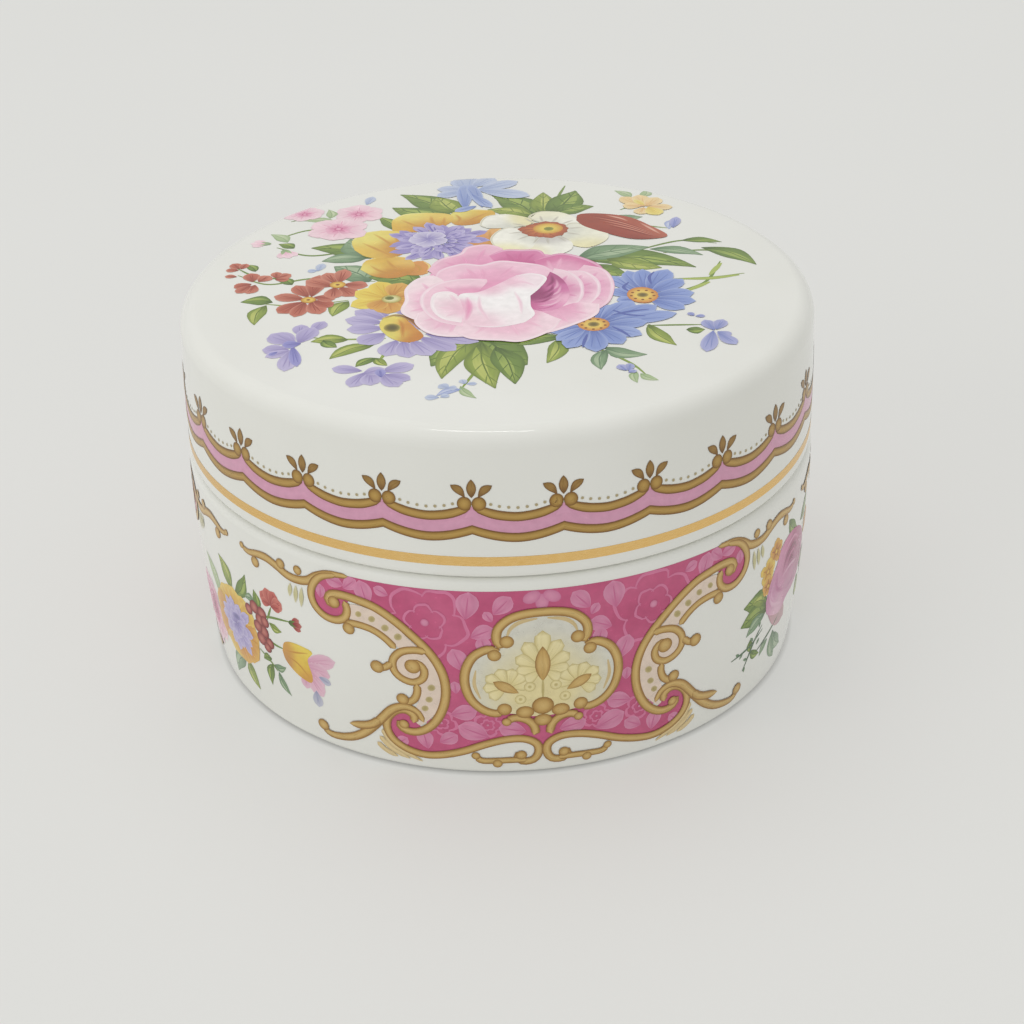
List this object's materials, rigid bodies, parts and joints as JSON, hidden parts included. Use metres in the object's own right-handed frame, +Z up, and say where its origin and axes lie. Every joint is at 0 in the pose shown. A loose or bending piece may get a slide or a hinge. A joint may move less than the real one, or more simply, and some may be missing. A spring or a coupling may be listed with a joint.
{
  "type": "lidded powder jar",
  "caption": "Low round glazed powder jar with a flat lift-off lid over an inner rim, holding loose powder and a satin-backed puff.",
  "frame": {"origin": "centre of the foot ring, in the plane that it stands on", "axes": "+Z up along the jar's axis of revolution, -Y towards the middle of the front cartouche, X along the puff's ribbon"},
  "size_m": [0.107, 0.107, 0.0636],
  "materials": {
    "china": "gloss",
    "powder": "matte",
    "plush": "matte",
    "wadding": "matte",
    "satin": "satin",
    "piping": "satin",
    "ribbon": "satin",
    "gilding": "polished",
    "enamel": "gloss"
  },
  "bodies": {
    "jar_bowl": {"bowl": "china", "loose_powder": "powder"},
    "jar_lid": {"lid": "china"},
    "powder_puff": {"puff_plush": "plush", "puff_filling": "wadding", "puff_backing": "satin", "puff_piping": "piping", "puff_ribbon": "ribbon"}
  },
  "joints": [
    {"name": "lid_lift", "type": "slide", "parent": "jar_bowl", "child": "jar_lid", "axis": [0, 0, 1], "range_m": [0, 0.12]},
    {"name": "puff_lift", "type": "slide", "parent": "jar_bowl", "child": "powder_puff", "axis": [0, 0, 1], "range_m": [0, 0.06]}
  ],
  "couplings": [
    {"joint": "puff_lift", "follows": "lid_lift", "ratio": 0.5}
  ]
}
